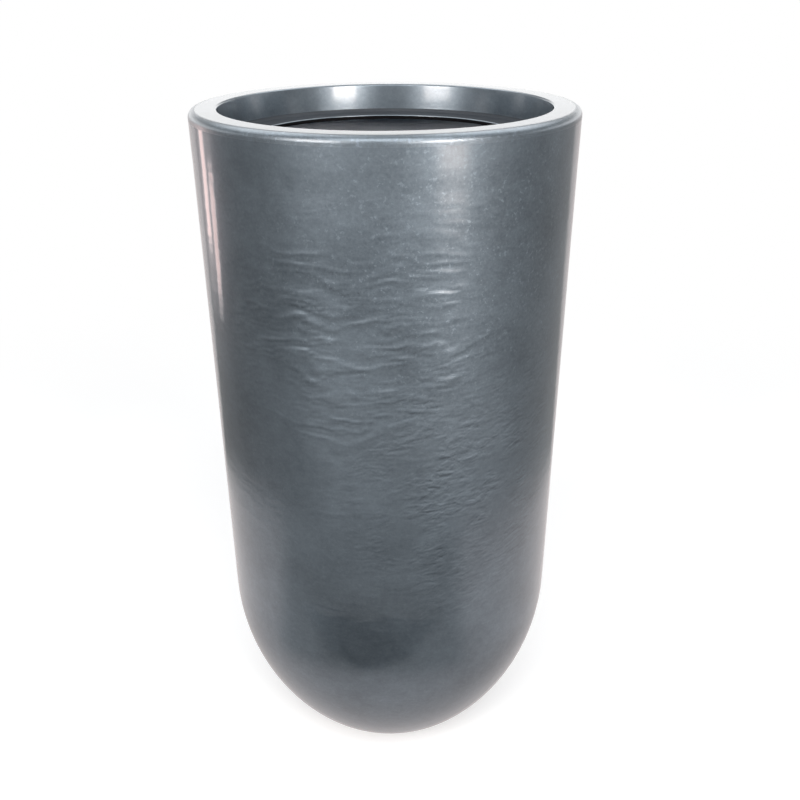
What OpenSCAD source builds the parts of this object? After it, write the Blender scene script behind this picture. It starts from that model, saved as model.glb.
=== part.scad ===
// Tall round-bottomed floor planter: a laminated shell with a bonded rim collar, a cast
// weight in the bowl, a drain through it, and a lift-out drainage plate.
// Millimetres, +Z up. The origin is on the ground, under the centre of the foot.

/* [Body] */
// Outside diameter at the rim
body_d = 400; // [370:1:440]
// Height from the ground to the top of the rim
body_h = 750; // [600:1:900]
// Draft of the wall in degrees, which narrows the body downwards
draft = 1.15; // [0:0.05:2]
// Radius of the arc that turns the wall in to the round bottom
side_r = 250; // [215:1:320]
// Radius of the cap at the bottom
nose_r = 168; // [160:1:180]
// Diameter of the flat foot, measured where the cap's curve would meet it
foot_d = 176; // [150:1:200]
// Radius of the edge round the foot
foot_edge_r = 12; // [4:1:20]
// Thickness of the laminate in the wall
wall_t = 4.5; // [3:0.1:7]
// Thickness of the laminate in the foot
floor_t = 6; // [4:0.5:10]

/* [Rim collar] */
// Width of the rim, from the outside of the body to the mouth
rim_w = 28.5; // [24:0.5:36]
// Radius of the rim's outer edge
rim_round_r = 7; // [3:0.5:8]
// Radius of the rim's inner edge
mouth_edge_r = 2; // [1:0.5:4]
// Draft of the mouth's wall in degrees, which narrows the mouth downwards
mouth_draft = 5; // [0:0.5:8]
// Depth of the ledge below the top of the rim
ledge_depth = 31; // [24:1:45]
// Width of the ledge, from the foot of the mouth's wall to the lip
ledge_w = 27.3; // [16:0.1:36]
// Radius of the cove between the mouth's wall and the ledge
cove_r = 4; // [2:0.5:12]
// Radius of the upper edge of the lip, where the ledge is cut off
lip_edge_r = 1; // [0.5:0.1:2]
// Thickness of the collar's laminate
collar_t = 4.5; // [3:0.1:6]
// Height of the collar's outer face, above its joint with the shell
collar_face_h = 10; // [9:0.5:14]
// Length of the skirt that is bonded inside the shell
skirt_h = 25; // [15:1:40]

/* [Weight and sump] */
// Height of the cast weight
ballast_h = 34; // [20:1:50]
// Thickness of the sump floor under the drain's flange
sump_t = 3; // [2:0.5:6]
// Fall of the sump floor from its flat land to the drain
sump_fall = 3; // [1:0.5:6]
// Width of the flat land inside the plate's legs
land_margin = 8; // [2:1:20]

/* [Drain] */
// Outside diameter of the drain tube
tube_d = 32; // [26:1:40]
// Inside diameter of the drain tube
tube_bore_d = 26; // [18:1:30]
// Diameter of the drain tube's flange
flange_d = 50; // [44:1:60]
// Thickness of the drain tube's flange
flange_t = 3; // [2:0.5:5]
// Length of the plug's stem in the tube
plug_stem_h = 20; // [12:1:40]
// Diameter of the plug's head
plug_head_d = 40; // [32:1:48]
// Thickness of the plug's head
plug_head_t = 4; // [2:0.5:6]
// Chamfer of the plug's head
plug_head_edge = 1; // [0.5:0.1:1.5]
// Length of the taper at the end of the plug's stem
stem_taper_h = 6; // [2:0.5:10]
// Amount by which the taper narrows the stem's radius
stem_taper = 2; // [0.5:0.1:4]
// Diameter of the plug's pull knob
knob_d = 18; // [14:1:26]
// Height of the plug's pull knob with its neck
knob_h = 8; // [7:0.5:9]
// Radius of the knob's edge
knob_round_r = 2.4; // [1:0.1:3]
// Diameter of the neck under the knob
neck_d = 11; // [6:0.5:13]

/* [Drainage plate] */
// Thickness of the plate
plate_t = 4; // [3:0.5:6]
// Length of the plate's legs below the plate
leg_h = 12; // [10:0.5:24]
// Diameter of a leg where it meets the plate
leg_d = 16; // [13:1:20]
// Diameter of a leg at its end
leg_end_d = 12; // [6:1:13]
// Distance from the plate's edge to the middle of a leg
leg_inset = 18; // [13:1:30]
// Number of legs, which is also the number of ribs
leg_count = 6; // [4:1:8]
// Height of the plate's rim, and of the ring round its hand hole, under the plate
plate_rim_h = 7; // [6.5:0.5:9]
// Height of the ribs under the plate
rib_h = 6; // [3:0.5:6]
// Thickness of the rim, the ring and the ribs
rib_t = 2.5; // [1.5:0.5:4]
// Diameter of the hand hole in the middle of the plate
hand_hole_d = 64; // [52:1:76]
// Diameter of a drainage hole
hole_d = 8; // [4:0.5:9]
// Distance between neighbouring drainage holes
hole_pitch = 15.5; // [13:0.5:24]
// Least web between a drainage hole and a ring under the plate
hole_web = 4; // [2:0.5:8]

/* [Foot pads] */
// Diameter of a pad
pad_d = 30; // [20:1:40]
// Thickness of a pad
pad_t = 4; // [2:0.5:6]
// Number of pads
pad_count = 4; // [3:1:6]
// Bare edge of the foot outside the pads
pad_margin = 3.5; // [2:0.5:10]

/* [Clearances] */
// Bond line between laminated or cast pieces
bond_gap = 0.3; // [0.1:0.1:1]
// Radial clearance of the drain tube in its holes
tube_gap = 0.3; // [0.1:0.1:1]
// Radial clearance of the plug's stem in the tube
plug_gap = 0.05; // [0.02:0.01:0.1]
// Gap round the plate as it is lifted through the ledge
pass_gap = 10; // [3:0.5:20]
// Least gap between the plate's edge and the bowl
bowl_gap = 3; // [1:0.5:10]

/* [Hidden] */
$fn = 144;

body_r = body_d / 2;
foot_r = foot_d / 2;
paint = [0.42, 0.43, 0.46];

// The outline, from the ground up: a flat foot, a rounded edge, the cap (centre nose_c),
// the side arc (centre side_c), which is tangent to the cap and to the wall, and the wall.
wall_out = [cos(draft), -sin(draft)];
wall_up = [sin(draft), cos(draft)];
nose_c = [0, pad_t + sqrt(nose_r ^ 2 - foot_r ^ 2)];
nose_to_wall = body_r * cos(draft) + (nose_c[1] - body_h) * sin(draft);
side_in = side_r - nose_to_wall;
side_c = nose_c - side_in * wall_out + sqrt((side_r - nose_r) ^ 2 - side_in ^ 2) * wall_up;
to_nose = (nose_c - side_c) / norm(nose_c - side_c);
edge_c = [sqrt((nose_r - foot_edge_r) ^ 2 - (nose_c[1] - pad_t - foot_edge_r) ^ 2),
          pad_t + foot_edge_r];
edge_top_z = nose_c[1] - nose_r * (nose_c[1] - edge_c[1]) / (nose_r - foot_edge_r);

// Radius of the straight wall at height z, for the outside moved inwards by inset
function wall_x(z, inset) = body_r - (body_h - z) * tan(draft) - inset / cos(draft);

// Heights where the wall meets the side arc, and the side arc meets the cap
function side_top_z(inset) = side_c[1] - (side_r - inset) * sin(draft);
function side_low_z(inset) = side_c[1] + (side_r - inset) * to_nose[1];

// Radius of the cap at height z
function cap_x(z, inset) = sqrt((nose_r - inset) ^ 2 - (z - nose_c[1]) ^ 2);

// Radius of the mouth's wall at height z, moved outwards by outset
function mouth_x(z, outset) =
    mouth_r - (body_h - z) * tan(mouth_draft) + outset / cos(mouth_draft);

// Levels
joint_z = body_h - collar_face_h;
ledge_z = body_h - ledge_depth;
floor_z = pad_t + floor_t;
sump_z = floor_z + ballast_h;
flange_z = sump_z + sump_t;
seat_z = flange_z + flange_t;
land_z = seat_z + sump_fall;
plate_z = land_z + leg_h;

// Radii
mouth_r = body_r - rim_w;
throat_r = mouth_x(ledge_z, 0) - ledge_w;
tube_hole_r = tube_d / 2 + tube_gap;
pocket_r = flange_d / 2 + tube_gap;
plate_r = min(throat_r - pass_gap, cap_x(plate_z - plate_rim_h, wall_t) - bowl_gap);
hand_hole_r = hand_hole_d / 2;
leg_ring_r = plate_r - leg_inset;
land_r = leg_ring_r - leg_d / 2 - land_margin;
first_ring_r = hand_hole_r + rib_t + hole_web + hole_d / 2;
last_ring_r = plate_r - rib_t - hole_web - hole_d / 2;
pad_ring_r = edge_c[0] - pad_margin - pad_d / 2;

// Centres of the collar's rounded edges and of its cove
rim_c = [wall_x(body_h - rim_round_r, rim_round_r), body_h - rim_round_r];
mouth_c = [mouth_x(body_h - mouth_edge_r, mouth_edge_r), body_h - mouth_edge_r];
lip_c = [throat_r + lip_edge_r, ledge_z - lip_edge_r];
cove_c = [mouth_x(ledge_z + cove_r, -cove_r), ledge_z + cove_r];

// Angle between two legs of the plate
sector = 360 / leg_count;

// How far a cut runs past the face that it opens
pass = 1;

// Right half of everything inside the outside skin moved inwards by inset
module skin_area(inset) {
    intersection() {
        polygon([[0, 0], [wall_x(0, inset), 0], [wall_x(body_h, inset), body_h], [0, body_h]]);
        union() {
            translate(side_c) circle(side_r - inset);
            translate([0, side_top_z(inset)]) square([body_d, body_h]);
        }
        union() {
            translate(nose_c) circle(nose_r - inset);
            translate([0, side_low_z(inset)]) square([body_d, body_h]);
        }
    }
}

// Everything above the flat foot, with the foot's edge rounded
module foot_area() {
    translate([0, pad_t]) square([edge_c[0], body_h]);
    translate([0, edge_top_z]) square([body_d, body_h]);
    translate(edge_c) circle(foot_edge_r);
}

// Everything below the rim's top, with its outer edge rounded
module rim_area() {
    square([rim_c[0], body_h]);
    square([body_d, rim_c[1] - rim_round_r * sin(draft)]);
    translate(rim_c) circle(rim_round_r);
}

module shell_section() {
    difference() {
        intersection() {
            skin_area(0);
            foot_area();
            square([body_d, joint_z]);
        }
        intersection() {
            skin_area(wall_t);
            translate([0, floor_z]) square([body_d, body_h]);
        }
    }
}

module shell() {
    color(paint) difference() {
        rotate_extrude() shell_section();
        cylinder(r = tube_hole_r, h = floor_z + pass);
    }
}

// A channel: the rim's top, the wall of the mouth with the ledge below it, and the skirt
module collar_section() {
    skirt_in = wall_t + bond_gap;
    skirt_z = joint_z - skirt_h;
    under_z = ledge_z - collar_t;
    roof_z = body_h - collar_t;
    cove_wall = cove_c + cove_r * [cos(mouth_draft), -sin(mouth_draft)];
    difference() {
        intersection() {
            rim_area();
            polygon([[throat_r, under_z], [mouth_x(under_z, collar_t), under_z],
                     [mouth_x(roof_z, collar_t), roof_z],
                     [wall_x(roof_z, skirt_in + collar_t), roof_z],
                     [wall_x(skirt_z, skirt_in + collar_t), skirt_z],
                     [wall_x(skirt_z, skirt_in), skirt_z], [wall_x(joint_z, skirt_in), joint_z],
                     [wall_x(joint_z, 0), joint_z], [wall_x(body_h, 0), body_h],
                     [mouth_r, body_h], cove_wall, cove_c, [cove_c[0], ledge_z],
                     [throat_r, ledge_z]]);
        }
        translate(cove_c) circle(cove_r);
        edge_cut(mouth_c, mouth_edge_r, mouth_c[1] + mouth_edge_r * sin(mouth_draft));
        edge_cut(lip_c, lip_edge_r, lip_c[1]);
    }
}

// What a rounded edge with centre c leaves out towards the mouth, above height z
module edge_cut(c, r, z) {
    difference() {
        translate([c[0] - r - pass, z]) square([r + pass, c[1] + r + pass - z]);
        translate(c) circle(r);
    }
}

module rim_collar() {
    color(paint) rotate_extrude() collar_section();
}

// Mortar cast round the drain tube, up to the sump floor
module ballast() {
    color([0.55, 0.54, 0.5]) rotate_extrude() intersection() {
        skin_area(wall_t + bond_gap);
        translate([tube_hole_r, floor_z]) square([body_r, ballast_h]);
    }
}

// Resin floor over the weight: a flat land for the plate's legs, and a fall to the drain
module sump_floor() {
    color([0.3, 0.31, 0.33]) rotate_extrude() intersection() {
        skin_area(wall_t + bond_gap);
        polygon([[tube_hole_r, sump_z], [body_r, sump_z], [body_r, land_z], [land_r, land_z],
                 [pocket_r, seat_z], [pocket_r, flange_z], [tube_hole_r, flange_z]]);
    }
}

module drain_tube() {
    color([0.62, 0.63, 0.64]) rotate_extrude() {
        translate([tube_bore_d / 2, pad_t])
            square([(tube_d - tube_bore_d) / 2, seat_z - pad_t]);
        translate([tube_bore_d / 2, flange_z])
            square([(flange_d - tube_bore_d) / 2, flange_t]);
    }
}

// Rubber bung: a stem with a tapered end, a head that rests on the flange, and a knob
module drain_plug() {
    stem_r = tube_bore_d / 2 - plug_gap;
    stem_z = seat_z - plug_stem_h;
    head_r = plug_head_d / 2;
    head_z = seat_z + plug_head_t;
    knob_z = head_z + knob_h;
    knob_in_r = knob_d / 2 - knob_round_r;
    color([0.1, 0.1, 0.1]) rotate_extrude() {
        polygon([[0, stem_z], [stem_r - stem_taper, stem_z], [stem_r, stem_z + stem_taper_h],
                 [stem_r, seat_z], [head_r, seat_z], [head_r, head_z - plug_head_edge],
                 [head_r - plug_head_edge, head_z], [neck_d / 2, head_z],
                 [neck_d / 2, knob_z], [0, knob_z]]);
        translate([0, knob_z - 2 * knob_round_r]) square([knob_in_r, 2 * knob_round_r]);
        translate([knob_in_r, knob_z - knob_round_r]) circle(knob_round_r);
    }
}

// Holes on rings, spread evenly over each sector between two ribs
module plate_holes() {
    ring_count = floor((last_ring_r - first_ring_r) / hole_pitch) + 1;
    for (ring = [0 : ring_count - 1], leg = [0 : leg_count - 1]) {
        ring_r = first_ring_r + ring * hole_pitch;
        in_sector = floor(ring_r * sector * PI / 180 / hole_pitch);
        for (i = [1 : in_sector])
            rotate((leg - 0.5 + i / (in_sector + 1)) * sector)
                translate([ring_r, 0, -pass]) cylinder(d = hole_d, h = plate_t + 2 * pass);
    }
}

// A disc with a hand hole, turned down at both edges
module plate_section() {
    polygon([[hand_hole_r, plate_t], [hand_hole_r, -plate_rim_h],
             [hand_hole_r + rib_t, -plate_rim_h], [hand_hole_r + rib_t, 0],
             [plate_r - rib_t, 0], [plate_r - rib_t, -plate_rim_h],
             [plate_r, -plate_rim_h], [plate_r, plate_t]]);
}

// Perforated plate on legs, stiffened by a rib over each leg
module drainage_plate() {
    color([0.16, 0.16, 0.17]) translate([0, 0, plate_z]) {
        difference() {
            rotate_extrude() plate_section();
            plate_holes();
        }
        for (leg = [0 : leg_count - 1])
            rotate((leg + 0.5) * sector) {
                translate([hand_hole_r + rib_t / 2, -rib_t / 2, -rib_h])
                    cube([plate_r - hand_hole_r - rib_t, rib_t, rib_h + plate_t / 2]);
                translate([leg_ring_r, 0, -leg_h])
                    cylinder(d1 = leg_end_d, d2 = leg_d, h = leg_h + plate_t / 2);
            }
    }
}

module foot_pads() {
    color([0.12, 0.12, 0.12]) for (i = [0 : pad_count - 1])
        rotate((i + 0.5) * 360 / pad_count) translate([pad_ring_r, 0, 0])
            cylinder(d = pad_d, h = pad_t);
}

shell();
rim_collar();
ballast();
sump_floor();
drain_tube();
drain_plug();
drainage_plate();
foot_pads();
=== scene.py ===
from math import atan2, cos, pi, radians, sin, sqrt, tan

import bpy
from mathutils import Matrix, Vector, noise


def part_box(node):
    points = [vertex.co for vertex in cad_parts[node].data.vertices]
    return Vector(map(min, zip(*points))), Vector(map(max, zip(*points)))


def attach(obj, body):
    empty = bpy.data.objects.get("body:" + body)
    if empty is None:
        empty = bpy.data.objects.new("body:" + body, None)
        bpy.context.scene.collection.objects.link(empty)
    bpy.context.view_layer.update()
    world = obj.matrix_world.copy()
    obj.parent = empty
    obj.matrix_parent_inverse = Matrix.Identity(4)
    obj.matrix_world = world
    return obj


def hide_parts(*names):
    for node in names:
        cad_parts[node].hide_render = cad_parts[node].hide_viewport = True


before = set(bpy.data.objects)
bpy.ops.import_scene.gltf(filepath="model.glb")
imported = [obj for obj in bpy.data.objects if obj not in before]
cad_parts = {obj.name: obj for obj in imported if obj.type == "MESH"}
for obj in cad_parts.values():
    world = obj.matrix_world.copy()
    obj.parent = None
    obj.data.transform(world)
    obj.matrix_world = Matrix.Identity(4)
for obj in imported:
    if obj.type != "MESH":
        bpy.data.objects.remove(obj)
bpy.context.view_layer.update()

# The shell and the rim collar are revolved again, finer, and the shell as uneven as laminate
# is. The other pieces are the frame's solids. Metres, +Z up; the camera stands in front, at -Y.
# A pair of limits says where something starts to show and where it shows in full.

# Sizes of the planter. The levels come from the frame.
COLLAR_LOW, COLLAR_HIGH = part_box("rim_collar")
BODY_H = COLLAR_HIGH.z
JOINT_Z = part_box("shell")[1].z
PAD_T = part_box("foot_pads")[1].z
FLOOR_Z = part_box("ballast")[0].z
DRAFT = radians(1.15)
SIDE_R = 0.250
NOSE_R = 0.168
FOOT_R = 0.088
FOOT_EDGE_R = 0.012
WALL_T = 0.0045
RIM_W = 0.0285
RIM_ROUND_R = 0.007
MOUTH_EDGE_R = 0.002
MOUTH_DRAFT = radians(5)
LEDGE_DEPTH = 0.031
LEDGE_W = 0.0273
COVE_R = 0.004
LIP_EDGE_R = 0.001
COLLAR_T = 0.0045
SKIRT_H = 0.025
BOND_GAP = 0.0003
TUBE_HOLE_R = 0.0163

# Radius of the wall where it would meet the top of the rim. The rim's outer edge is rounded,
# so the frame's box is a little narrower.
BODY_R = min(COLLAR_HIGH.x, COLLAR_HIGH.y, -COLLAR_LOW.x, -COLLAR_LOW.y)
BODY_R += RIM_ROUND_R * (1 - cos(DRAFT)) / cos(DRAFT) + RIM_ROUND_R * tan(DRAFT)

# Fineness of the revolved pieces: steps round the axis and along an arc, rows on straight
# stretches, and the angle from which an edge is sharp
LATHE_STEPS = 216
ARC_STEP = radians(3.0)
LEAST_ARC_STEPS = 4
WALL_ROWS = 360
INNER_WALL_ROWS = 20
MOUTH_ROWS = 8
RIM_ROWS = 5
LEDGE_ROWS = 5
FOOT_ROWS = 6
FLOOR_ROWS = 6
SHARP_ANGLE = radians(35)

# Dents of the laminate: their depth, the share of it that is even, the other shares with their
# scale per metre and place in the noise, and the margin at each end in which they fade out
DENT_DEPTH = 0.0003
DENT_EVEN = 0.5
DENT_PARTS = (
    (0.4, 7.0, Vector((3.1, 0.4, 7.7))),
    (0.1, 24.0, Vector((9.2, 5.5, 1.3))),
)
DENT_MARGIN = 0.02

# Ripples where the laminate sagged: depth, sizes as share of it and scale, scales per metre
# along and up the wall, how far and how quickly they sway, and how sharp their crests are
RIPPLE_H = 0.0010
RIPPLE_SIZES = ((0.62, 1.0), (0.38, 1.8))
RIPPLE_ALONG = 15.0
RIPPLE_UP = 100.0
SWAY = 0.022
SWAY_SCALE = 13.0
SWAY_FRACTAL = (0.7, 2.0, 3)
CREST_SHARPNESS = 2.6

# Pieces that the crests break into: scale, usual height and its swing, and place in the noise
PIECE_SCALE = 0.6
PIECE_HEIGHT = 0.85
PIECE_SWING = 2.5
PIECE_SHIFT = Vector((5.3, 2.9, 8.1))

# Where the ripples are: the middle and reach of an ellipsoid, their strength in its middle
# and its fall to the reach, and their strength elsewhere. Over 1 counts as 1.
RIPPLE_AT = Vector((-0.035, -0.18, 0.550))
RIPPLE_REACH = (0.145, 0.14, 0.115)
RIPPLE_PEAK = 1.6
RIPPLE_FALL = 1.3
RIPPLE_ELSEWHERE = 0.15

# Camera, from the fit to the photograph
IMAGE_W = 800
SENSOR_W = 36.0
FOCAL_PX = 1000.0
CAMERA_AT = Vector((0.0, -1.0612, 0.8891))
CAMERA_TILT = radians(23.97)
CAMERA_TURN = radians(0.73)
CAMERA_ROLL = radians(-0.29)

# A noise mostly lies between these values. A noise is written as scale per metre, detail and
# roughness, and one with a scale of 1 has its scales in a STRETCH along X, Y and Z.
NOISE_RANGE = (0.3, 0.7)

# Paint: a metallic base coat under a clear coat
PAINT_DARK = (0.064, 0.083, 0.102, 1)
PAINT_LIGHT = (0.203, 0.252, 0.296, 1)
PAINT_METALLIC = 0.85
PAINT_ROUGHNESS = 0.36
COAT_IOR = 1.5

# Tone of the base coat, from dark at 0 to light at 1: slow clouds, patterns that swing it by
# one amount on plain paint and by another in a front patch where the light falls, pale flecks
# of the flakes that come in clumps and are painted glints in that patch, and painted light on
# what faces upwards, with painted shade on what faces down
CLOUD = (11.0, 4.0, 0.65)
CLOUD_TONE = (0.22, 0.60)
MOTTLE_STRETCH = (110, 110, 190)
MOTTLE = (1.0, 3.0, 0.65)
MOTTLE_SWING = (0.06, 0.09)
GRAIN = (380.0, 3.0, 0.7)
GRAIN_SWING = (0.07, 0.14)
GRAIN_HEIGHT = 0.0003
FLECK = (290.0, 2.0, 0.6)
FLECK_EDGE = (0.56, 0.66)
FLAKE_AND_GLINT_TONE = (0.10, 0.48)
CLUMP = (80.0, 3.0, 0.6)
CLUMP_EDGE = (0.42, 0.62)
UPWARDS_PAINTED_LIGHT = 0.30

# Finer ripples in a patch of the paint: its middle and size, the ripples' scales, how much
# they bend and slant, where they break off, their relief, and their painted light and shade
FINE_AT = (0.08, -0.17, 0.40)
FINE_SIZE = (0.10, 0.12, 0.12)
FINE_STRETCH = (60, 60, 170)
FINE = (1.0, 3.0, 0.6)
FINE_BEND = 0.5
FINE_SLANT = radians(7)
FINE_BREAK = (30.0, 2.0, 0.5)
FINE_BREAK_EDGE = (0.35, 0.60)
FINE_RELIEF = 0.45
FINE_HEIGHT = 0.001
FINE_STEP = 0.002
FINE_DIFFERENCE = (-0.2, 0.2)
FINE_PAINTED_SHADE = 0.40

# Moulded and cast surfaces: detail and roughness of the clouds, and the fine grain
PLAIN_CLOUD = (4.0, 0.6)
PLAIN_TONE = (0.15, 0.85)
SPECK = (900.0, 2.0, 0.6)
SPECK_SWING = 0.15
ROUGHNESS_SWING = 0.05

# Bare laminate: clouds, and the bundles of the mat that run around and upwards
LAMINATE_CLOUD = (14.0, 3.0, 0.6)
LAMINATE_TONE = (0.1, 0.7)
AROUND_STRETCH = (90, 90, 900)
UPWARDS_STRETCH = (700, 700, 80)
FIBRE = (1.0, 2.0, 0.6)
FIBRE_EDGE = (0.5, 0.75)
FIBRE_TONE = (-0.1, 0.3)
FIBRE_RELIEF = 0.35
FIBRE_HEIGHT = 0.0006
LAMINATE_ROUGHNESS = 0.62

# Colours of the stage
WHITE = (1, 1, 1, 1)
WINDOW_COLOUR = (1.0, 0.88, 0.80)
FLOOR_DARK = (0.74, 0.765, 0.785, 1)
FLOOR_LIGHT = (0.78, 0.805, 0.825, 1)

# Floor: half its side, its clouds, its own light for the camera, and where it turns white
FLOOR_HALF = 60.0
FLOOR_CLOUD = (1.5, 2.0, 0.5)
FLOOR_GLOW = 0.36
WHITE_EDGE = (0.55, 1.8)

# The room: its light on rough surfaces, and what the paint sees of it. In front it is even.
# Behind there is a bright horizon, a dark wall and a ceiling that is brighter to both sides.
# Limits are parts of a direction: up, to the side or, where the front ends, to the back.
ROOM_LEVEL = 0.55
ROOM_FRONT = 0.42
HORIZON_LEVEL = 1.5
HORIZON_EDGE = (0.30, 0.18)
BACK_WALL_LEVEL = 0.27
CEILING_LEVEL = 0.45
CEILING_EDGE = (0.45, 0.66)
CEILING_SIDES = 2.4
CEILING_SIDE_EDGE = (0.04, 0.20)
FRONT_END = (-0.1, 0.1)

# Daylight round the two windows, as the paint sees it just above the horizon in front
DAYLIGHT_LEVEL = 3.6
DAYLIGHT_TOP = (0.30, 0.12)
DAYLIGHT_RIGHT = radians(27)
DAYLIGHT_LEFT = radians(-40)
DAYLIGHT_HALF = (radians(22), radians(3))

# The floor as the paint sees it: azimuths from the front, positive to the right, and
# distances from the planter's axis. Farther off it is light in front and behind, and darker to
# both sides. Close to the planter it is dark in front and light beside it. The level ahead
# is a sum of steps: start, end, level up to the start and level from the end on. The light is
# warmer behind the planter, close beside it and under it.
FRONT_AT = radians(13)
FRONT_EDGE = (radians(72), radians(44))
NEAR_EDGE = (0.88, 0.62)
NEAR_FRONT_AT = radians(-13)
NEAR_FRONT_EDGE = (radians(63), radians(46))
AHEAD_STEPS = ((0.65, 1.10, 0.35, 0.69), (1.20, 1.35, 0.0, -0.11), (2.0, 3.1, 0.0, 0.29))
LEFT_LEVEL = 0.24
RIGHT_LEVEL = 0.35
BEHIND_LEVEL = 0.75
BEHIND_EDGE = (radians(136), radians(143))
BESIDE_LEVEL = 0.80
UNDER_LEVEL = 0.66
UNDER_EDGE = (0.38, 0.28)
WARM_TINT = (1.0, 0.94, 0.935, 1)

# A dark patch of floor in front of the foot, which narrows towards the foot
DARK_LEVEL = 0.0
DARK_OUTER = (0.498, 0.490)
DARK_INNER = (0.26, 0.38)
DARK_X = -0.08
DARK_WIDTH = (0.36, 0.27)
DARK_NARROWING = 1.85
DARK_FRONT = (radians(100), radians(75))

# The right window on the floor
GLOW_AT = radians(37)
GLOW_HALF = (radians(14), radians(3))
GLOW_REACH = (1.9, 3.7)
GLOW_LEVEL = 3.9
GLOW_TINT = (1.0, 0.85, 0.76, 1)

# Two lamps behind the planter on the left, and the glow round them
LAMP_TINT = (1.0, 0.74, 0.70, 1)
LAMP_LEVEL = 3.4
LAMP_HALF = (radians(4.2), radians(1.8))
FAR_LAMP_AT = radians(-129.5)
FAR_LAMP_START = (2.1, 2.6)
NEAR_LAMP_AT = radians(-120.5)
NEAR_LAMP_START = (1.5, 2.1)
NEAR_LAMP_END = (3.7, 3.1)
HALO_AT = radians(-126)
HALO_HALF = (radians(13), radians(7))
HALO_LEVEL = 0.40


# Profiles of the revolved pieces, as (radius, height) points

def arc(centre, radius, start, end):
    """Points of an arc, from one angle to the other."""
    count = max(int(abs(end - start) / ARC_STEP), LEAST_ARC_STEPS)
    angles = [start + (end - start) * i / count for i in range(count + 1)]
    return [(centre[0] + radius * cos(a), centre[1] + radius * sin(a)) for a in angles]


def line(start, end, count):
    """Points between two ends, without the ends."""
    return [
        (start[0] + (end[0] - start[0]) * i / count, start[1] + (end[1] - start[1]) * i / count)
        for i in range(1, count)
    ]


def wall_x(z, inset=0.0):
    """Radius of the drafted wall at a height, moved inwards by inset."""
    return BODY_R - (BODY_H - z) * tan(DRAFT) - inset / cos(DRAFT)


def mouth_x(z, outset=0.0):
    """Radius of the mouth's wall at a height, moved outwards by outset."""
    return BODY_R - RIM_W - (BODY_H - z) * tan(MOUTH_DRAFT) + outset / cos(MOUTH_DRAFT)


# Centres of the cap, of the arc that joins it to the wall and of the foot's edge, and the
# angles at which these arcs meet
NOSE_Z = PAD_T + sqrt(NOSE_R ** 2 - FOOT_R ** 2)
NOSE_TO_WALL = BODY_R * cos(DRAFT) + (NOSE_Z - BODY_H) * sin(DRAFT)
SIDE_IN = SIDE_R - NOSE_TO_WALL
SIDE_UP = sqrt((SIDE_R - NOSE_R) ** 2 - SIDE_IN ** 2)
SIDE_C = (
    -SIDE_IN * cos(DRAFT) + SIDE_UP * sin(DRAFT),
    NOSE_Z + SIDE_IN * sin(DRAFT) + SIDE_UP * cos(DRAFT),
)
JOIN_ANGLE = atan2(NOSE_Z - SIDE_C[1], -SIDE_C[0])
EDGE_C = (
    sqrt((NOSE_R - FOOT_EDGE_R) ** 2 - (NOSE_Z - PAD_T - FOOT_EDGE_R) ** 2),
    PAD_T + FOOT_EDGE_R,
)
EDGE_ANGLE = atan2(EDGE_C[1] - NOSE_Z, EDGE_C[0])


def body_curve(inset, low_angle):
    """The bowl, from a low angle on the cap up to the foot of the wall."""
    cap = arc((0, NOSE_Z), NOSE_R - inset, low_angle, JOIN_ANGLE)
    side = arc(SIDE_C, SIDE_R - inset, JOIN_ANGLE, -DRAFT)
    return cap + side[1:]


def shell_profile():
    """Section of the shell: the painted outside from the drain hole up, and the inside down."""
    foot = [(TUBE_HOLE_R, PAD_T)] + line((TUBE_HOLE_R, PAD_T), (EDGE_C[0], PAD_T), FOOT_ROWS)
    edge = arc(EDGE_C, FOOT_EDGE_R, -pi / 2, EDGE_ANGLE)
    outside = body_curve(0, EDGE_ANGLE)[1:]
    wall_top = (wall_x(JOINT_Z), JOINT_Z)
    wall = line(outside[-1], wall_top, WALL_ROWS)
    inner_top = (wall_x(JOINT_Z, WALL_T), JOINT_Z)
    floor_x = sqrt((NOSE_R - WALL_T) ** 2 - (NOSE_Z - FLOOR_Z) ** 2)
    inside = body_curve(WALL_T, atan2(FLOOR_Z - NOSE_Z, floor_x))
    inside.reverse()
    inner_wall = [wall_top, inner_top] + line(inner_top, inside[0], INNER_WALL_ROWS)
    hole_edge = (TUBE_HOLE_R, FLOOR_Z)
    floor = line(inside[-1], hole_edge, FLOOR_ROWS) + [hole_edge]
    return foot + edge + outside + wall, inner_wall + inside + floor


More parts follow.
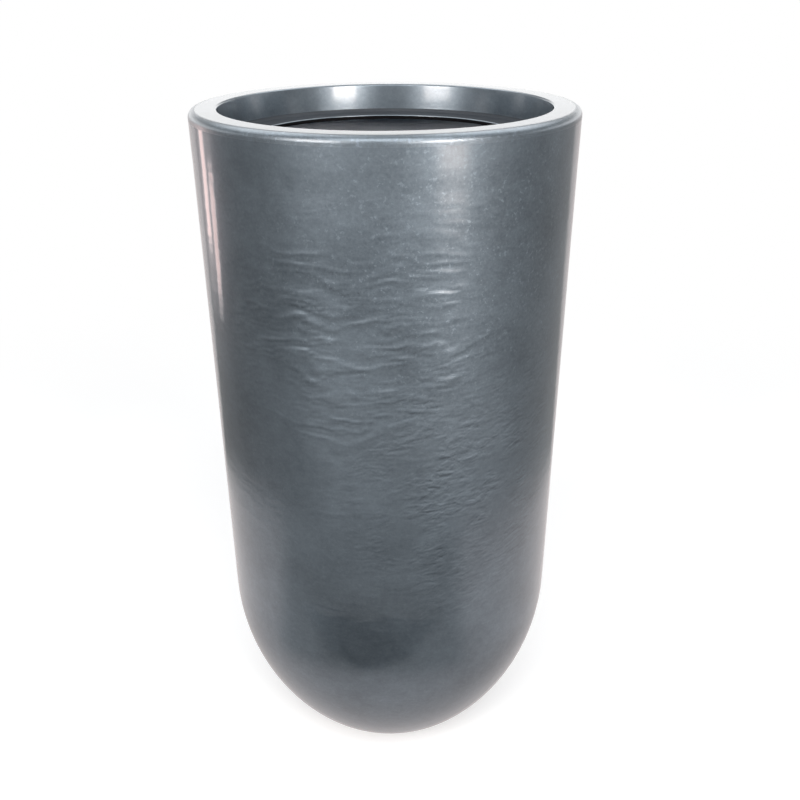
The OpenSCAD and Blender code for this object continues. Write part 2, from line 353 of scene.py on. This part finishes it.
def collar_profile():
    """Section of the rim collar: the grainy outer edge from the joint up, the glossy rim and
    mouth wall, the matt cove and ledge, darkened as painted shade, the glossy lip, and the bare
    rest, painted nearly black as shade."""
    ledge_z = BODY_H - LEDGE_DEPTH
    throat_r = mouth_x(ledge_z) - LEDGE_W
    rim_c = (wall_x(BODY_H - RIM_ROUND_R, RIM_ROUND_R), BODY_H - RIM_ROUND_R)
    mouth_c = (mouth_x(BODY_H - MOUTH_EDGE_R, MOUTH_EDGE_R), BODY_H - MOUTH_EDGE_R)
    cove_c = (mouth_x(ledge_z + COVE_R, -COVE_R), ledge_z + COVE_R)
    lip_c = (throat_r + LIP_EDGE_R, ledge_z - LIP_EDGE_R)
    rim = arc(rim_c, RIM_ROUND_R, -DRAFT, pi / 2)
    mouth_edge = arc(mouth_c, MOUTH_EDGE_R, pi / 2, pi - MOUTH_DRAFT)
    cove = arc(cove_c, COVE_R, -MOUTH_DRAFT, -pi / 2)
    lip = arc(lip_c, LIP_EDGE_R, pi / 2, pi)
    outer_edge = [(wall_x(JOINT_Z), JOINT_Z)] + rim[:-1]
    painted = [rim[-1]] + line(rim[-1], mouth_edge[0], RIM_ROWS) + mouth_edge
    painted += line(mouth_edge[-1], cove[0], MOUTH_ROWS)
    ledge = cove + line(cove[-1], lip[0], LEDGE_ROWS)
    skirt_in = WALL_T + BOND_GAP
    skirt_z = JOINT_Z - SKIRT_H
    under_z = ledge_z - COLLAR_T
    roof_z = BODY_H - COLLAR_T
    bare = [
        lip[-1],
        (throat_r, under_z),
        (mouth_x(under_z, COLLAR_T), under_z),
        (mouth_x(roof_z, COLLAR_T), roof_z),
        (wall_x(roof_z, skirt_in + COLLAR_T), roof_z),
        (wall_x(skirt_z, skirt_in + COLLAR_T), skirt_z),
        (wall_x(skirt_z, skirt_in), skirt_z),
        (wall_x(JOINT_Z, skirt_in), JOINT_Z),
    ]
    return outer_edge, painted, ledge, lip[:-1], bare


# Unevenness of the laminate

def limit(value):
    return min(max(value, 0.0), 1.0)


def ripple_crest(place):
    """1 on the crests of the ripples: short wavy lines that lie level, in two sizes."""
    sway = SWAY * noise.fractal(place * SWAY_SCALE, *SWAY_FRACTAL)
    flow = Vector((
        place.x * RIPPLE_ALONG,
        place.y * RIPPLE_ALONG,
        (place.z + sway) * RIPPLE_UP,
    ))
    height = 0.0
    for share, scale in RIPPLE_SIZES:
        crest = limit(1 - CREST_SHARPNESS * abs(noise.noise(flow * scale)))
        breaks = noise.noise(flow * (scale * PIECE_SCALE) + PIECE_SHIFT)
        height += share * crest * crest * limit(PIECE_HEIGHT + PIECE_SWING * breaks)
    return height


def ripple_strength(place):
    """Full in one area of the front, and faint elsewhere."""
    away = place - RIPPLE_AT
    distance = Vector([a / reach for a, reach in zip(away, RIPPLE_REACH)]).length
    return max(limit(RIPPLE_PEAK - RIPPLE_FALL * distance), RIPPLE_ELSEWHERE)


def laminate_dent(x, y, z):
    """How far the outside of the laminate lies inside its true surface: it is never quite even."""
    place = Vector((x, y, z))
    fade = limit((JOINT_Z - DENT_MARGIN - z) / DENT_MARGIN)
    fade *= limit((z - PAD_T - FOOT_EDGE_R) / DENT_MARGIN)
    if fade == 0:
        return 0.0
    dent = DENT_EVEN
    for share, scale, shift in DENT_PARTS:
        dent += share * noise.noise(place * scale + shift)
    ripple = ripple_strength(place) * (1 - ripple_crest(place))
    return fade * (DENT_DEPTH * dent + RIPPLE_H * ripple)


# Revolved pieces

def revolve(sections, dented):
    """The points of the sections at each step round the axis, and how much each point faces
    upwards. Only the first section can be dented, and the others don't face upwards."""
    profile = [point for section in sections for point in section]
    count = len(profile)
    points = []
    facing_up = []
    for step in range(LATHE_STEPS):
        angle = 2 * pi * step / LATHE_STEPS
        dents = [0.0] * count
        if dented:
            for i, (r, z) in enumerate(sections[0]):
                dents[i] = laminate_dent(r * cos(angle), r * sin(angle), z)
        for i, (r, z) in enumerate(profile):
            r -= dents[i]
            points.append((r * cos(angle), r * sin(angle), z))
            facing_up.append((dents[(i + 1) % count] - dents[i - 1]) / RIPPLE_H)
    return points, facing_up


def revolved_faces(count):
    """Faces between neighbouring steps of a closed profile with so many points."""
    faces = []
    for step in range(LATHE_STEPS):
        here = step * count
        there = ((step + 1) % LATHE_STEPS) * count
        for i in range(count):
            j = (i + 1) % count
            faces.append((here + i, there + i, there + j, here + j))
    return faces


def lathe(name, sections, materials, dented=False):
    """A closed solid of revolution. The face that follows a point has its section's material."""
    slots = [i for i, section in enumerate(sections) for point in section]
    points, facing_up = revolve(sections, dented)
    faces = revolved_faces(len(slots))
    mesh = bpy.data.meshes.new(name)
    mesh.from_pydata(points, [], faces)
    for material in materials:
        mesh.materials.append(material)
    mesh.polygons.foreach_set("material_index", slots * LATHE_STEPS)
    mesh.polygons.foreach_set("use_smooth", [True] * len(faces))
    mesh.set_sharp_from_angle(angle=SHARP_ANGLE)
    mesh.attributes.new("facing_up", "FLOAT", "POINT").data.foreach_set("value", facing_up)
    mesh.update()
    piece = bpy.data.objects.new(name, mesh)
    bpy.context.scene.collection.objects.link(piece)
    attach(piece, "planter")
    return piece


# Materials

class Graph:
    """The nodes of a material or world, built with short calls."""

    def __init__(self, owner, coordinates="Object"):
        owner.use_nodes = True
        self.owner = owner
        self.tree = owner.node_tree
        self.place = self.node("TexCoord", coordinates)

    def put(self, socket, value):
        if isinstance(value, bpy.types.NodeSocket):
            self.tree.links.new(value, socket)
        else:
            socket.default_value = value

    def node(self, kind, output, inputs=None, **settings):
        made = self.tree.nodes.new("ShaderNode" + kind)
        for name, value in settings.items():
            setattr(made, name, value)
        for name, value in (inputs or {}).items():
            self.put(made.inputs[name], value)
        return made.outputs[output]

    def math(self, operation, first, second=0.0):
        return self.node("Math", 0, {0: first, 1: second}, operation=operation)

    def total(self, first, *others):
        for other in others:
            first = self.math("ADD", first, other)
        return first

    def product(self, first, *others):
        for other in others:
            first = self.math("MULTIPLY", first, other)
        return first

    def largest(self, first, *others):
        for other in others:
            first = self.math("MAXIMUM", first, other)
        return first

    def off(self, value, centre):
        """How far a value lies from a centre, to either side."""
        return self.math("ABSOLUTE", self.math("SUBTRACT", value, centre))

    def axis(self, index):
        return self.node("SeparateXYZ", index, {0: self.place})

    def azimuth(self):
        """Angle round the Z axis from the front, positive to the right."""
        return self.math("ARCTAN2", self.axis(0), self.product(self.axis(1), -1.0))

    def length(self, vector):
        return self.node("VectorMath", 1, {0: vector}, operation="LENGTH")

    def stretch(self, place, scale):
        return self.node("VectorMath", 0, {0: place, 1: scale}, operation="MULTIPLY")

    def shift(self, place, amount):
        return self.node("VectorMath", 0, {0: place, 1: amount}, operation="ADD")

    def noise(self, place, scale, detail, rough, bend=0.0):
        inputs = {"Vector": place, "Scale": scale, "Detail": detail, "Roughness": rough}
        inputs["Distortion"] = bend
        return self.node("TexNoise", "Fac", inputs)

    def remap(self, value, low, high, to_low=0.0, to_high=1.0):
        inputs = {0: value, 1: low, 2: high, 3: to_low, 4: to_high}
        return self.node("MapRange", 0, inputs)

    def swing(self, value, reach, low=NOISE_RANGE[0], high=NOISE_RANGE[1]):
        """A noise value as a swing of tone to both sides of zero."""
        return self.product(self.remap(value, low, high, -1.0, 1.0), reach)

    def smooth(self, value, low, high):
        """0 at low and 1 at high, with soft ends; low may be the larger one."""
        inputs = {0: value, 1: min(low, high), 2: max(low, high), 3: 0.0, 4: 1.0}
        if low > high:
            inputs[3], inputs[4] = 1.0, 0.0
        return self.node("MapRange", 0, inputs, interpolation_type="SMOOTHSTEP")

    def blend(self, share, first, second):
        made = self.tree.nodes.new("ShaderNodeMix")
        self.put(made.inputs[0], share)
        self.put(made.inputs[2], first)
        self.put(made.inputs[3], second)
        return made.outputs[0]

    def mix(self, share, first, second):
        made = self.tree.nodes.new("ShaderNodeMix")
        made.data_type = "RGBA"
        self.put(made.inputs[0], share)
        self.put(made.inputs[6], first)
        self.put(made.inputs[7], second)
        return made.outputs[2]

    def bump(self, height, strength, distance, normal=None):
        inputs = {"Height": height, "Strength": strength, "Distance": distance}
        if normal is not None:
            inputs["Normal"] = normal
        return self.node("Bump", 0, inputs)

    def finish(self, **sockets):
        shader = self.tree.nodes["Principled BSDF"]
        for name, value in sockets.items():
            self.put(shader.inputs[name.replace("_", " ")], value)
        return self.owner


def patch(graph, centre, size):
    """1 in the inner half of an ellipsoid, and 0 from one and a half times its size on."""
    away = graph.shift(graph.place, tuple(-c for c in centre))
    distance = graph.length(graph.stretch(away, tuple(1 / s for s in size)))
    return graph.remap(distance, 0.5, 1.5, 1.0, 0.0)


def fine_ripples(graph):
    """Short slanted ripples in a patch of the paint: their height, and painted light and shade."""
    slanted = graph.node("VectorRotate", 0, {"Vector": graph.place, "Angle": FINE_SLANT},
                         rotation_type="Y_AXIS")
    above = graph.shift(slanted, (0, 0, FINE_STEP))
    height = graph.noise(graph.stretch(slanted, FINE_STRETCH), *FINE, FINE_BEND)
    height_above = graph.noise(graph.stretch(above, FINE_STRETCH), *FINE, FINE_BEND)
    breaks = graph.remap(graph.noise(graph.place, *FINE_BREAK), *FINE_BREAK_EDGE)
    strength = graph.product(patch(graph, FINE_AT, FINE_SIZE), breaks)
    slope = graph.math("SUBTRACT", height, height_above)
    # Painted light where a ripple faces upwards, and painted shade where it faces down
    shade = graph.swing(slope, graph.product(strength, FINE_PAINTED_SHADE), *FINE_DIFFERENCE)
    return graph.product(height, strength), shade


def paint_material(name, glint_at, glint_size, grain_relief, coat_roughness):
    """Metallic base coat with uneven flakes and fine ripples, under a clear coat. Glints of the
    flakes, and light and shade, are painted into its colour.
    """
    graph = Graph(bpy.data.materials.new(name))
    # A patch at the front where the light falls, in which glints of the flakes are painted in as
    # paler flecks and stronger swings of tone
    glinting = patch(graph, glint_at, glint_size)
    cloud = graph.noise(graph.place, *CLOUD)
    mottle = graph.noise(graph.stretch(graph.place, MOTTLE_STRETCH), *MOTTLE)
    grain = graph.noise(graph.place, *GRAIN)
    fleck = graph.noise(graph.place, *FLECK)
    clump = graph.noise(graph.place, *CLUMP)
    fine_height, fine_painted_shade = fine_ripples(graph)
    facing_up = graph.node("Attribute", "Fac", attribute_name="facing_up")
    tone = graph.total(
        graph.remap(cloud, *NOISE_RANGE, *CLOUD_TONE),
        graph.swing(mottle, graph.remap(glinting, 0, 1, *MOTTLE_SWING)),
        graph.swing(grain, graph.remap(glinting, 0, 1, *GRAIN_SWING)),
        graph.product(
            graph.remap(fleck, *FLECK_EDGE),
            graph.remap(glinting, 0, 1, *FLAKE_AND_GLINT_TONE),
            graph.remap(clump, *CLUMP_EDGE),
        ),
        fine_painted_shade,
        # Painted light on what faces upwards, and painted shade on what faces down
        graph.product(facing_up, UPWARDS_PAINTED_LIGHT),
    )
    relief = graph.bump(fine_height, FINE_RELIEF, FINE_HEIGHT)
    relief = graph.bump(grain, grain_relief, GRAIN_HEIGHT, relief)
    return graph.finish(
        Base_Color=graph.mix(tone, PAINT_DARK, PAINT_LIGHT),
        Metallic=PAINT_METALLIC,
        Roughness=PAINT_ROUGHNESS,
        Normal=relief,
        Coat_Weight=1.0,
        Coat_Roughness=coat_roughness,
        Coat_IOR=COAT_IOR,
    )


def plain_material(name, dark, light, scale, roughness, relief=0.2, height=0.0003, shine=0.5):
    """A moulded or cast surface: slow changes of tone, and a fine grain in tone and relief."""
    graph = Graph(bpy.data.materials.new(name))
    cloud = graph.noise(graph.place, scale, *PLAIN_CLOUD)
    speck = graph.noise(graph.place, *SPECK)
    tone = graph.total(
        graph.remap(cloud, *NOISE_RANGE, *PLAIN_TONE),
        graph.swing(speck, SPECK_SWING),
    )
    smoother = roughness - ROUGHNESS_SWING
    rougher = roughness + ROUGHNESS_SWING
    return graph.finish(
        Base_Color=graph.mix(tone, dark + (1,), light + (1,)),
        Roughness=graph.remap(cloud, *NOISE_RANGE, smoother, rougher),
        Specular_IOR_Level=shine,
        Normal=graph.bump(speck, relief, height),
    )


def laminate_material(name, dark, light, shine=0.5):
    """Bare laminate: gelcoat over glass fibre, matt, with the bundles of the mat."""
    graph = Graph(bpy.data.materials.new(name))
    around = graph.noise(graph.stretch(graph.place, AROUND_STRETCH), *FIBRE)
    upwards = graph.noise(graph.stretch(graph.place, UPWARDS_STRETCH), *FIBRE)
    cloud = graph.noise(graph.place, *LAMINATE_CLOUD)
    fibre = graph.largest(around, upwards)
    tone = graph.total(
        graph.remap(cloud, *NOISE_RANGE, *LAMINATE_TONE),
        graph.remap(fibre, *FIBRE_EDGE, *FIBRE_TONE),
    )
    return graph.finish(
        Base_Color=graph.mix(tone, dark + (1,), light + (1,)),
        Roughness=LAMINATE_ROUGHNESS,
        Specular_IOR_Level=shine,
        Normal=graph.bump(fibre, FIBRE_RELIEF, FIBRE_HEIGHT),
    )


def dress(node, material):
    """Gives a node of the frame its material."""
    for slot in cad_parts[node].material_slots:
        slot.material = material


# Floor

def dark_patch(graph, away, azimuth):
    """1 on the dark patch of floor in front of the foot."""
    narrower = graph.remap(away, 0.0, DARK_OUTER[0], DARK_OUTER[0] * DARK_NARROWING, 0.0)
    aside = graph.total(graph.off(graph.axis(0), DARK_X), narrower)
    return graph.product(
        graph.smooth(away, *DARK_OUTER),
        graph.smooth(away, *DARK_INNER),
        graph.smooth(aside, *DARK_WIDTH),
        graph.smooth(graph.off(azimuth, 0.0), *DARK_FRONT),
    )


def lamps_on_floor(graph, away, azimuth):
    """1 on two narrow strips of floor that run away from the planter, and 1 on their glow."""
    far = graph.product(
        graph.smooth(graph.off(azimuth, FAR_LAMP_AT), *LAMP_HALF),
        graph.smooth(away, *FAR_LAMP_START),
    )
    near = graph.product(
        graph.smooth(graph.off(azimuth, NEAR_LAMP_AT), *LAMP_HALF),
        graph.smooth(away, *NEAR_LAMP_START),
        graph.smooth(away, *NEAR_LAMP_END),
    )
    halo = graph.product(
        graph.smooth(graph.off(azimuth, HALO_AT), *HALO_HALF),
        graph.smooth(away, *NEAR_LAMP_START),
    )
    return graph.total(far, near), halo


def floor_in_paint(graph, away):
    """The studio's floor as the paint sees it, as a shader."""
    azimuth = graph.azimuth()
    front = graph.smooth(graph.off(azimuth, FRONT_AT), *FRONT_EDGE)
    near_front = graph.smooth(graph.off(azimuth, NEAR_FRONT_AT), *NEAR_FRONT_EDGE)
    behind = graph.smooth(graph.off(azimuth, 0.0), *BEHIND_EDGE)
    near = graph.smooth(away, *NEAR_EDGE)
    under = graph.smooth(away, *UNDER_EDGE)
    dark = dark_patch(graph, away, azimuth)
    window = graph.smooth(graph.off(azimuth, GLOW_AT), *GLOW_HALF)
    glow = graph.product(window, graph.smooth(away, *GLOW_REACH))
    lamps, halo = lamps_on_floor(graph, away, azimuth)

    ahead = graph.total(*(graph.remap(away, *step) for step in AHEAD_STEPS))
    side = graph.remap(azimuth, -pi / 2, pi / 2, LEFT_LEVEL, RIGHT_LEVEL)
    side = graph.blend(behind, side, BEHIND_LEVEL)
    far_level = graph.blend(front, side, ahead)
    near_level = graph.blend(near_front, BESIDE_LEVEL, ahead)
    level = graph.blend(near, far_level, near_level)
    level = graph.blend(under, level, UNDER_LEVEL)
    level = graph.blend(dark, level, DARK_LEVEL)
    level = graph.total(
        level,
        graph.product(glow, GLOW_LEVEL),
        graph.product(halo, HALO_LEVEL),
    )

    close_beside = graph.product(near, graph.math("SUBTRACT", 1.0, near_front))
    warm = graph.largest(behind, halo, close_beside, under)
    tint = graph.mix(glow, graph.mix(warm, WHITE, WARM_TINT), GLOW_TINT)
    tint = graph.mix(lamps, tint, LAMP_TINT)
    light = {"Color": tint, "Strength": graph.blend(lamps, level, LAMP_LEVEL)}
    return graph.node("Emission", 0, light)


def floor_material():
    """A pale floor that is white to the camera, and keeps the shadow round the planter."""
    graph = Graph(bpy.data.materials.new("pale_floor"))
    tree = graph.tree
    tree.nodes.remove(tree.nodes["Principled BSDF"])
    path = tree.nodes.new("ShaderNodeLightPath")
    to_camera = path.outputs["Is Camera Ray"]
    away = graph.length(graph.stretch(graph.place, (1, 1, 0)))
    cloud = graph.noise(graph.place, *FLOOR_CLOUD)
    tone = graph.mix(graph.remap(cloud, *NOISE_RANGE), FLOOR_DARK, FLOOR_LIGHT)
    diffuse = graph.node("BsdfDiffuse", 0, {"Color": tone})
    glow = {"Color": WHITE, "Strength": graph.product(to_camera, FLOOR_GLOW)}
    lit = graph.node("AddShader", 0, {0: diffuse, 1: graph.node("Emission", 0, glow)})
    white = graph.node("Emission", 0, {"Color": WHITE, "Strength": 1.0})
    far = graph.product(to_camera, graph.smooth(away, *WHITE_EDGE))
    plain = graph.node("MixShader", 0, {0: far, 1: lit, 2: white})
    inputs = {0: path.outputs["Is Glossy Ray"], 1: plain, 2: floor_in_paint(graph, away)}
    shown = graph.node("MixShader", 0, inputs)
    graph.put(tree.nodes["Material Output"].inputs["Surface"], shown)
    return graph.owner


def add_floor():
    """A floor so wide that it has no edge in view."""
    mesh = bpy.data.meshes.new("floor")
    half = FLOOR_HALF
    corners = [(-half, -half, 0), (half, -half, 0), (half, half, 0), (-half, half, 0)]
    mesh.from_pydata(corners, [], [(0, 1, 2, 3)])
    mesh.materials.append(floor_material())
    floor = bpy.data.objects.new("floor", mesh)
    bpy.context.scene.collection.objects.link(floor)


# Room, lights and camera

def room_behind(graph, height):
    """Level of the wall behind, with the horizon below it and the ceiling above it."""
    wall = graph.blend(graph.smooth(height, *HORIZON_EDGE), BACK_WALL_LEVEL, HORIZON_LEVEL)
    aside = graph.math("ABSOLUTE", graph.axis(0))
    sides = graph.product(graph.smooth(aside, *CEILING_SIDE_EDGE), CEILING_SIDES)
    ceiling = graph.total(sides, CEILING_LEVEL)
    return graph.blend(graph.smooth(height, *CEILING_EDGE), wall, ceiling)


def room_in_front(graph, height):
    """Level of the even room in front, with daylight round the two windows."""
    azimuth = graph.azimuth()
    off_right = graph.off(azimuth, DAYLIGHT_RIGHT)
    off_left = graph.off(azimuth, DAYLIGHT_LEFT)
    windows = graph.smooth(graph.math("MINIMUM", off_right, off_left), *DAYLIGHT_HALF)
    daylight = graph.product(windows, graph.smooth(height, *DAYLIGHT_TOP), DAYLIGHT_LEVEL)
    return graph.total(daylight, ROOM_FRONT)


def add_world():
    """White to the camera, even to rough surfaces, and a studio room to the paint."""
    world = bpy.data.worlds.new("studio")
    bpy.context.scene.world = world
    graph = Graph(world, "Generated")
    path = graph.tree.nodes.new("ShaderNodeLightPath")
    height = graph.axis(2)
    front = room_in_front(graph, height)
    back = room_behind(graph, height)
    room = graph.blend(graph.smooth(graph.axis(1), *FRONT_END), front, back)
    level = graph.blend(path.outputs["Is Glossy Ray"], ROOM_LEVEL, room)
    level = graph.blend(path.outputs["Is Camera Ray"], level, 1.0)
    background = graph.tree.nodes["Background"]
    graph.put(background.inputs["Color"], WHITE)
    graph.put(background.inputs["Strength"], level)


def add_light(name, at, aim, size, watts, colour=(1, 1, 1)):
    """A rectangular soft light that the camera doesn't see."""
    data = bpy.data.lights.new(name, "AREA")
    data.shape = "RECTANGLE"
    data.size, data.size_y = size
    data.energy = watts
    data.color = colour
    light = bpy.data.objects.new(name, data)
    light.location = at
    light.rotation_euler = (Vector(aim) - Vector(at)).to_track_quat("-Z", "Y").to_euler()
    light.visible_camera = False
    bpy.context.scene.collection.objects.link(light)


def add_camera():
    """The photograph's camera: tilted down, and turned and rolled a little."""
    forward = Vector((
        sin(CAMERA_TURN) * cos(CAMERA_TILT),
        cos(CAMERA_TURN) * cos(CAMERA_TILT),
        -sin(CAMERA_TILT),
    ))
    level_right = forward.cross(Vector((0, 0, 1))).normalized()
    level_up = level_right.cross(forward)
    right = level_right * cos(CAMERA_ROLL) + level_up * sin(CAMERA_ROLL)
    up = level_up * cos(CAMERA_ROLL) - level_right * sin(CAMERA_ROLL)
    data = bpy.data.cameras.new("camera")
    data.sensor_width = SENSOR_W
    data.lens = SENSOR_W * FOCAL_PX / IMAGE_W
    camera = bpy.data.objects.new("camera", data)
    turn = Matrix((right, up, -forward)).transposed().to_4x4()
    camera.matrix_world = Matrix.Translation(CAMERA_AT) @ turn
    bpy.context.scene.collection.objects.link(camera)
    bpy.context.scene.camera = camera


# The stage

add_camera()
add_world()
add_floor()
add_light(
    "window_right", at=(1.80, -2.96, 1.5), aim=(0, 0, 0.6), size=(1.1, 1.5), watts=85,
    colour=WINDOW_COLOUR)
add_light(
    "window_left", at=(-2.05, -2.45, 1.6), aim=(0, 0, 0.6), size=(1.2, 1.5), watts=62,
    colour=WINDOW_COLOUR)
add_light("top", at=(0, -1.5, 2.3), aim=(0, -0.1, 0.5), size=(2.0, 1.2), watts=30)

# The vessel

# Each paint has painted glints in a patch at the front: on the body, on the rim's outer edge and
# on the rim's top
SHELL_PAINT = paint_material(
    "shell_paint", glint_at=(0.06, -0.19, 0.64), glint_size=(0.14, 0.12, 0.13),
    grain_relief=0.20, coat_roughness=0.05)
EDGE_PAINT = paint_material(
    "edge_paint", glint_at=(0, -0.19, 0.74), glint_size=(0.25, 0.15, 0.06),
    grain_relief=1.0, coat_roughness=0.28)
RIM_PAINT = paint_material(
    "rim_paint", glint_at=(0, -0.19, 0.75), glint_size=(0.20, 0.09, 0.02),
    grain_relief=0.30, coat_roughness=0.13)
# The cove and ledge: matt paint, its colour darkened as painted shade in the recess under the
# mouth wall
SHADED_LEDGE_PAINT = plain_material(
    "matt_paint_painted_shade", dark=(0.034, 0.040, 0.048), light=(0.054, 0.063, 0.074), scale=12,
    roughness=0.75, shine=0.15)
LAMINATE = laminate_material(
    "bare_laminate", dark=(0.33, 0.375, 0.43), light=(0.44, 0.50, 0.57))
# The lip's cut face and the collar's bare underside: laminate painted nearly black and without
# shine, as painted shade under the ledge
SHADED_CUT_LAMINATE = laminate_material(
    "cut_laminate_painted_shade", dark=(0.004, 0.004, 0.005), light=(0.008, 0.008, 0.009), shine=0.02)

shell = lathe("shell_outer", shell_profile(), (SHELL_PAINT, LAMINATE), dented=True)
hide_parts("shell")

collar_materials = (EDGE_PAINT, RIM_PAINT, SHADED_LEDGE_PAINT, RIM_PAINT, SHADED_CUT_LAMINATE)
collar = lathe("rim_collar_outer", collar_profile(), collar_materials)
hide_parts("rim_collar")

# The pieces inside and under it

dress("ballast", plain_material(
    "mortar", dark=(0.20, 0.19, 0.17), light=(0.33, 0.32, 0.29), scale=60, roughness=0.9,
    relief=0.6, height=0.001))
dress("sump_floor", plain_material(
    "resin", dark=(0.055, 0.06, 0.065), light=(0.085, 0.09, 0.097), scale=18, roughness=0.38))
dress("drain_tube", plain_material(
    "grey_pvc", dark=(0.30, 0.31, 0.32), light=(0.36, 0.37, 0.38), scale=30, roughness=0.4))
dress("drain_plug", plain_material(
    "plug_rubber", dark=(0.009,) * 3, light=(0.020,) * 3, scale=70, roughness=0.7))
dress("drainage_plate", plain_material(
    "plate_plastic", dark=(0.014,) * 3, light=(0.030,) * 3, scale=25, roughness=0.5))
dress("foot_pads", plain_material(
    "pad_rubber", dark=(0.009,) * 3, light=(0.022,) * 3, scale=70, roughness=0.75))

scene = bpy.context.scene
scene.view_settings.view_transform = "Standard"
